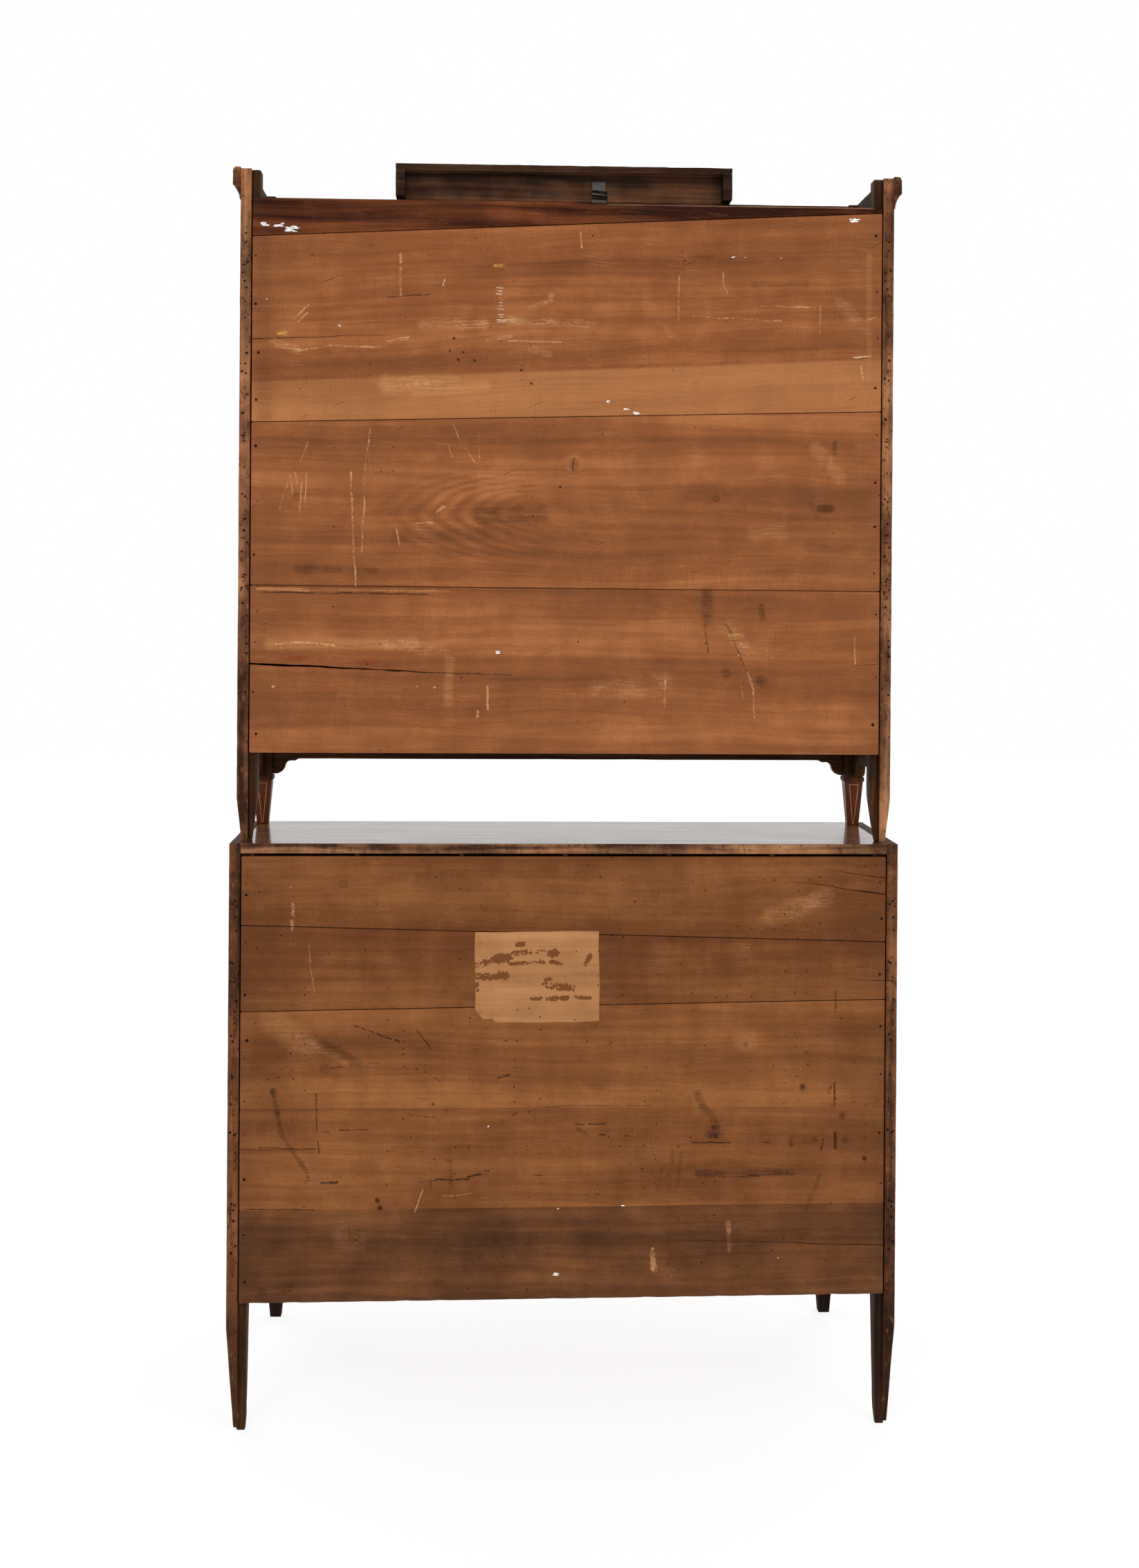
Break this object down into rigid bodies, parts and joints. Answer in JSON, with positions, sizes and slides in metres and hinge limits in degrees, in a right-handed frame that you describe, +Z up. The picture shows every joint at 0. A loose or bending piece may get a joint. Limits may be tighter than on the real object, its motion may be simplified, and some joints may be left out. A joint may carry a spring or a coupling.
{
  "type": "slant-front desk",
  "caption": "Slant-front writing desk with a fall lid on pull-out supports, long drawers and an inner nest, carrying a panelled-door cabinet with a cornice on short tapered feet.",
  "frame": {"origin": "on the floor in the middle of the footprint", "axes": "+Z up, the front with the lid and doors faces -Y, +X to the right as seen from the front"},
  "size_m": [1.21, 0.635, 2.3155],
  "materials": {
    "walnut": "polished, worn",
    "desk_back": "bare, aged and stained",
    "cabinet_back": "bare, aged",
    "poplar": "bare",
    "brass": "aged",
    "iron": "forged, dull"
  },
  "bodies": {
    "case": {"cabinet_back_board_1": "cabinet_back", "cabinet_back_board_2": "cabinet_back", "cabinet_back_board_3": "cabinet_back", "cabinet_back_board_4": "cabinet_back", "cabinet_bottom_board": "poplar", "cabinet_front_apron": "walnut", "cabinet_front_post_left": "walnut", "cabinet_front_post_right": "walnut", "cabinet_rear_posts": "walnut", "cabinet_roof_board": "poplar", "cabinet_shelves": "poplar", "cabinet_side_left": "walnut", "cabinet_side_right": "walnut", "cornice": "walnut", "desk_back_board_1": "desk_back", "desk_back_board_2": "desk_back", "desk_back_board_3": "desk_back", "desk_back_board_4": "desk_back", "desk_back_board_5": "desk_back", "desk_bottom_board": "poplar", "desk_front_leg_left": "walnut", "desk_front_leg_right": "walnut", "desk_rear_posts": "walnut", "desk_side_left": "walnut", "desk_side_right": "walnut", "desk_top_board": "walnut", "door_hinges_fixed": "brass", "drawer_rails": "walnut", "drawer_runners": "poplar", "frieze_board": "walnut", "lid_hinges_fixed": "brass", "lid_stop_rail": "poplar", "nest_partitions": "poplar", "raised_block": "walnut", "raised_block_strap": "iron", "writing_bed": "walnut"},
    "lid": {"lid_end_clamps": "walnut", "lid_fittings": "brass", "lid_panel": "walnut"},
    "loper_right": {"loper_right": "walnut"},
    "loper_left": {"loper_left": "walnut"},
    "door_left": {"door_left_fittings": "brass", "door_left_frame": "walnut", "door_left_panel": "walnut"},
    "door_right": {"door_right_fittings": "brass", "door_right_frame": "walnut", "door_right_panel": "walnut"},
    "drawer_bottom": {"drawer_bottom_box": "poplar", "drawer_bottom_fittings": "brass", "drawer_bottom_front": "walnut"},
    "drawer_middle": {"drawer_middle_box": "poplar", "drawer_middle_fittings": "brass", "drawer_middle_front": "walnut"},
    "drawer_top": {"drawer_top_box": "poplar", "drawer_top_fittings": "brass", "drawer_top_front": "walnut"},
    "nest_drawer_1": {"nest_drawer_1": "poplar"},
    "nest_drawer_2": {"nest_drawer_2": "poplar"},
    "nest_drawer_3": {"nest_drawer_3": "poplar"},
    "nest_drawer_4": {"nest_drawer_4": "poplar"}
  },
  "joints": [
    {"name": "lid_fall", "type": "hinge", "parent": "case", "child": "lid", "pos_m": [0, -0.27163, 0.76], "axis": [1, 0, 0], "range_deg": [0, 133.83]},
    {"name": "loper_right_slide", "type": "slide", "parent": "case", "child": "loper_right", "axis": [0, -1, 0], "range_m": [0, 0.3]},
    {"name": "loper_left_slide", "type": "slide", "parent": "case", "child": "loper_left", "axis": [0, -1, 0], "range_m": [0, 0.3]},
    {"name": "drawer_top_slide", "type": "slide", "parent": "case", "child": "drawer_top", "axis": [0, -1, 0], "range_m": [0, 0.4]},
    {"name": "drawer_middle_slide", "type": "slide", "parent": "case", "child": "drawer_middle", "axis": [0, -1, 0], "range_m": [0, 0.4]},
    {"name": "drawer_bottom_slide", "type": "slide", "parent": "case", "child": "drawer_bottom", "axis": [0, -1, 0], "range_m": [0, 0.4]},
    {"name": "nest_drawer_1_slide", "type": "slide", "parent": "case", "child": "nest_drawer_1", "axis": [0, -1, 0], "range_m": [0, 0.19]},
    {"name": "nest_drawer_2_slide", "type": "slide", "parent": "case", "child": "nest_drawer_2", "axis": [0, -1, 0], "range_m": [0, 0.19]},
    {"name": "nest_drawer_3_slide", "type": "slide", "parent": "case", "child": "nest_drawer_3", "axis": [0, -1, 0], "range_m": [0, 0.19]},
    {"name": "nest_drawer_4_slide", "type": "slide", "parent": "case", "child": "nest_drawer_4", "axis": [0, -1, 0], "range_m": [0, 0.19]},
    {"name": "door_right_swing", "type": "hinge", "parent": "case", "child": "door_right", "pos_m": [0.5538, -0.016, 1.676], "axis": [0, 0, 1], "range_deg": [0, 110]},
    {"name": "door_left_swing", "type": "hinge", "parent": "case", "child": "door_left", "pos_m": [-0.5538, -0.016, 1.676], "axis": [0, 0, -1], "range_deg": [0, 110]}
  ]
}
